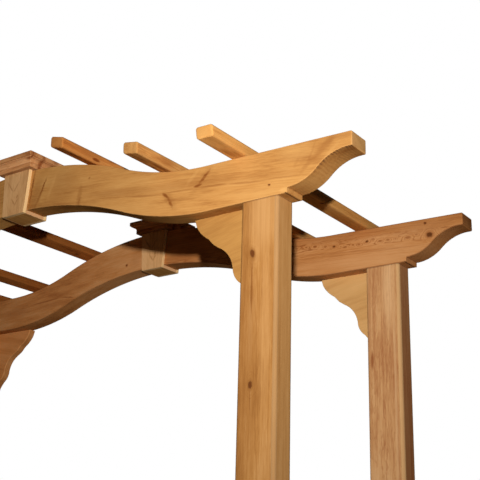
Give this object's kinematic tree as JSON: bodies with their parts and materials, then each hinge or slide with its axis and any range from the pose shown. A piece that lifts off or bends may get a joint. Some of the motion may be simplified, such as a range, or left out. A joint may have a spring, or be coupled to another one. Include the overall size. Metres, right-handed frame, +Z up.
{
  "type": "garden arbor",
  "caption": "Open cedar garden arbor with arched front and rear beams on rectangular posts, scrolled brackets, capped keystones and flat purlins laid across.",
  "frame": {"origin": "centre of the four post feet, at ground level", "axes": "+X along the arches to the right, +Y from the front frame to the rear frame, +Z up"},
  "size_m": [2.97, 1.29, 2.532],
  "materials": {
    "post_cedar": "planed and sealed cedar, satin",
    "beam_cedar": "planed and sealed cedar, satin",
    "trim_cedar": "planed and sealed cedar, satin",
    "purlin_cedar": "planed and sealed cedar, satin"
  },
  "bodies": {
    "root": {"post_front_right": "post_cedar", "post_front_left": "post_cedar", "post_rear_right": "post_cedar", "post_rear_left": "post_cedar", "beam_front_right": "beam_cedar", "beam_front_left": "beam_cedar", "beam_rear_right": "beam_cedar", "beam_rear_left": "beam_cedar", "bracket_front_right": "trim_cedar", "bracket_front_left": "trim_cedar", "bracket_rear_right": "trim_cedar", "bracket_rear_left": "trim_cedar", "keystone_front_outer": "trim_cedar", "keystone_front_inner": "trim_cedar", "keystone_rear_inner": "trim_cedar", "keystone_rear_outer": "trim_cedar", "sole_front": "trim_cedar", "sole_rear": "trim_cedar", "cap_base_front": "trim_cedar", "cap_base_rear": "trim_cedar", "cap_cove_front": "trim_cedar", "cap_cove_rear": "trim_cedar", "cap_board_front": "trim_cedar", "cap_board_rear": "trim_cedar", "purlin_inner_right": "purlin_cedar", "purlin_middle_right": "purlin_cedar", "purlin_outer_right": "purlin_cedar", "purlin_inner_left": "purlin_cedar", "purlin_middle_left": "purlin_cedar", "purlin_outer_left": "purlin_cedar"}
  },
  "joints": []
}
